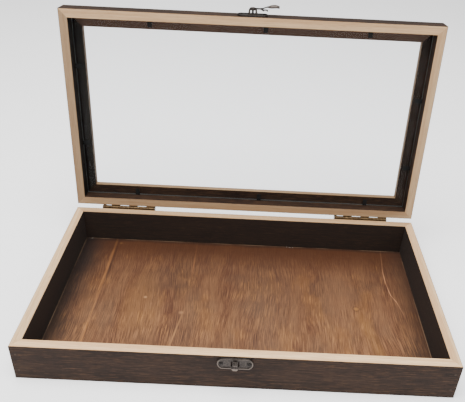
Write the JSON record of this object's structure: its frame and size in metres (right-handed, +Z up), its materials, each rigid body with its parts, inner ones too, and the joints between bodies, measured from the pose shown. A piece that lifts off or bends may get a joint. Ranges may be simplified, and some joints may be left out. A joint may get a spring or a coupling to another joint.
{
  "type": "display box",
  "caption": "Shallow wooden display box with a glazed lid that hinges at the back, a plywood floor and a small swing-arm clasp at the front.",
  "frame": {"origin": "centre of the underside of the base", "axes": "+X along the length to the viewer's right, +Y from the clasp side to the hinge side, +Z up; the lid stands open 95 degrees from shut"},
  "size_m": [0.375, 0.2593, 0.2614],
  "materials": {
    "stained_pine": "dark walnut stain, matte, with bare pale rims",
    "floor_plywood": "warm brown stain, satin",
    "clear_glass": "clear, polished",
    "black_steel": "blackened",
    "brad_steel": "plain wire",
    "hinge_brass": "aged brass",
    "clasp_bronze": "antique bronze plate"
  },
  "bodies": {
    "base": {"base_front_rail": "stained_pine", "base_back_rail": "stained_pine", "base_left_rail": "stained_pine", "base_right_rail": "stained_pine", "base_floor_panel": "floor_plywood", "base_corner_brads": "brad_steel", "hinge_left_base_leaf": "hinge_brass", "hinge_left_pin": "brad_steel", "hinge_right_base_leaf": "hinge_brass", "hinge_right_pin": "brad_steel", "hinge_base_screws": "hinge_brass", "keeper_plate": "clasp_bronze", "keeper_screws": "clasp_bronze"},
    "lid": {"lid_front_rail": "stained_pine", "lid_back_rail": "stained_pine", "lid_left_rail": "stained_pine", "lid_right_rail": "stained_pine", "glass_pane": "clear_glass", "glazing_tabs": "black_steel", "lid_corner_brads": "brad_steel", "hinge_left_lid_leaf": "hinge_brass", "hinge_right_lid_leaf": "hinge_brass", "hinge_lid_screws": "hinge_brass", "latch_plate": "clasp_bronze", "latch_screws": "clasp_bronze", "latch_rivet": "clasp_bronze"},
    "latch_arm": {"latch_arm": "clasp_bronze"}
  },
  "joints": [
    {"name": "lid_hinge", "type": "hinge", "parent": "base", "child": "lid", "pos_m": [0, 0.1081, 0.0381], "axis": [1, 0, 0], "range_deg": [0, 95]},
    {"name": "latch_swing", "type": "hinge", "parent": "lid", "child": "latch_arm", "pos_m": [-0.0004, 0.13444, 0.25714], "axis": [0, -0.0872, -0.9962], "range_deg": [-90, 90]}
  ]
}
